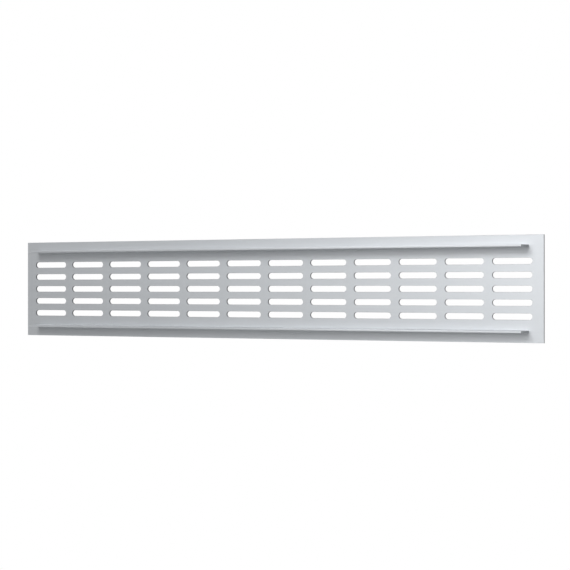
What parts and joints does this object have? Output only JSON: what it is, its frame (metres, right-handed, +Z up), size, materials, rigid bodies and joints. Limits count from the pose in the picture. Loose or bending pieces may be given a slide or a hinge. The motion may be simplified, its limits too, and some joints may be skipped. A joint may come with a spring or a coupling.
{
  "type": "door vent grille",
  "caption": "Flat rectangular aluminium vent grille with rows of round-ended slots and locating ribs along its rear face, set into a cut-out in a door so that air passes.",
  "frame": {"origin": "centre of the plate's rear face, which seats on the door", "axes": "+X along the grille, +Z up, -Y out of the rear face into the door, so the seen face points to +Y"},
  "size_m": [0.48, 0.0155, 0.08],
  "materials": {
    "anodised_aluminium": "satin natural anodised, with faint lines along the extrusion"
  },
  "bodies": {
    "root": {"grille": "anodised_aluminium"}
  },
  "joints": []
}
